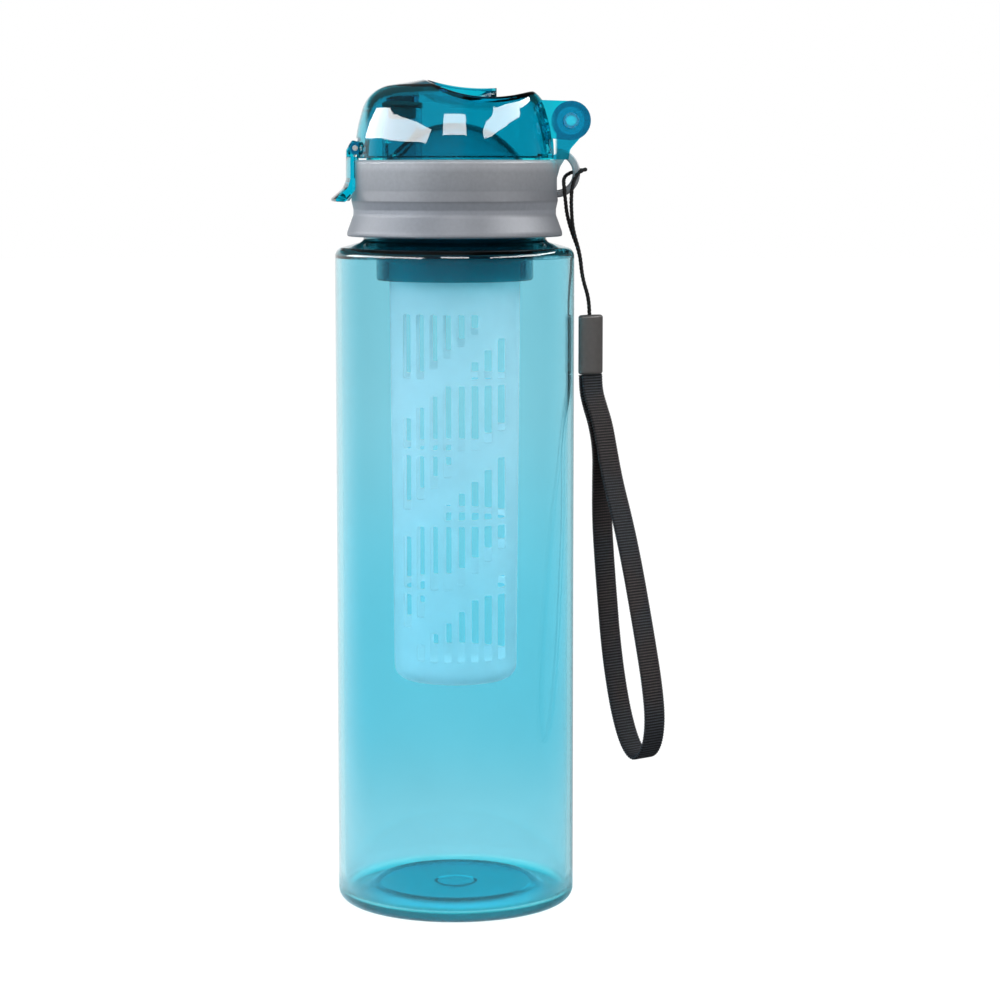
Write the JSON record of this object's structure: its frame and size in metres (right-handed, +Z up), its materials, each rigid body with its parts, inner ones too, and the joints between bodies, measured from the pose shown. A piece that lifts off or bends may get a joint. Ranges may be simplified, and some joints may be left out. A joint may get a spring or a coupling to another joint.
{
  "type": "infuser_bottle",
  "caption": "Clear tinted drinking bottle with a slotted fruit infuser, a grey screw collar, a latched flip lid over a spout, and a webbing wrist strap on a cord",
  "frame": {"origin": "centre of the standing foot ring, on the bottle's axis", "axes": "+Z up along the bottle's axis, +X to the lid hinge, -X to the latch"},
  "size_m": [0.1003, 0.072, 0.2491],
  "materials": {
    "clear_aqua": "clear glossy copolyester, pale aqua",
    "silicone": "soft translucent silicone",
    "clear_teal": "clear glossy plastic, deep teal",
    "grey_satin": "satin silver-grey moulded plastic",
    "dark_teal": "dark teal moulded plastic",
    "frosted_aqua": "frosted clear plastic, pale aqua",
    "steel": "plain steel pin",
    "black_cord": "thin braided cord, black",
    "dark_stopper": "dark grey crimped sleeve",
    "black_webbing": "ribbed flat webbing, black"
  },
  "bodies": {
    "bottle": {"bottle_body": "clear_aqua"},
    "cap_seal": {"neck_gasket": "silicone"},
    "cap": {"cap_core": "clear_teal", "grip_collar": "grey_satin", "carry_loop": "grey_satin", "infuser_ring": "dark_teal", "hinge_pin": "clear_teal", "wrist_cord": "black_cord", "cord_stopper": "dark_stopper", "wrist_strap": "black_webbing"},
    "lid": {"flip_lid": "clear_teal", "spout_plug": "silicone", "latch_pin": "steel"},
    "latch": {"front_latch": "clear_teal"},
    "basket": {"infuser_basket": "frosted_aqua"}
  },
  "joints": [
    {"name": "cap_lift", "type": "slide", "parent": "bottle", "child": "cap_seal", "axis": [0, 0, 1], "range_m": [0, 0.16]},
    {"name": "cap_unscrew", "type": "hinge", "parent": "cap_seal", "child": "cap", "pos_m": [0, 0, 0.2221], "axis": [0, 0, 1], "range_deg": [0, 360]},
    {"name": "lid_open", "type": "hinge", "parent": "cap", "child": "lid", "pos_m": [0.0347, 0, 0.2368], "axis": [0, 1, 0], "range_deg": [0, 150]},
    {"name": "latch_release", "type": "hinge", "parent": "lid", "child": "latch", "pos_m": [-0.0294, 0, 0.2287], "axis": [0, 1, 0], "range_deg": [0, 45]},
    {"name": "basket_release", "type": "slide", "parent": "cap", "child": "basket", "axis": [0, 0, -1], "range_m": [0, 0.02]}
  ]
}
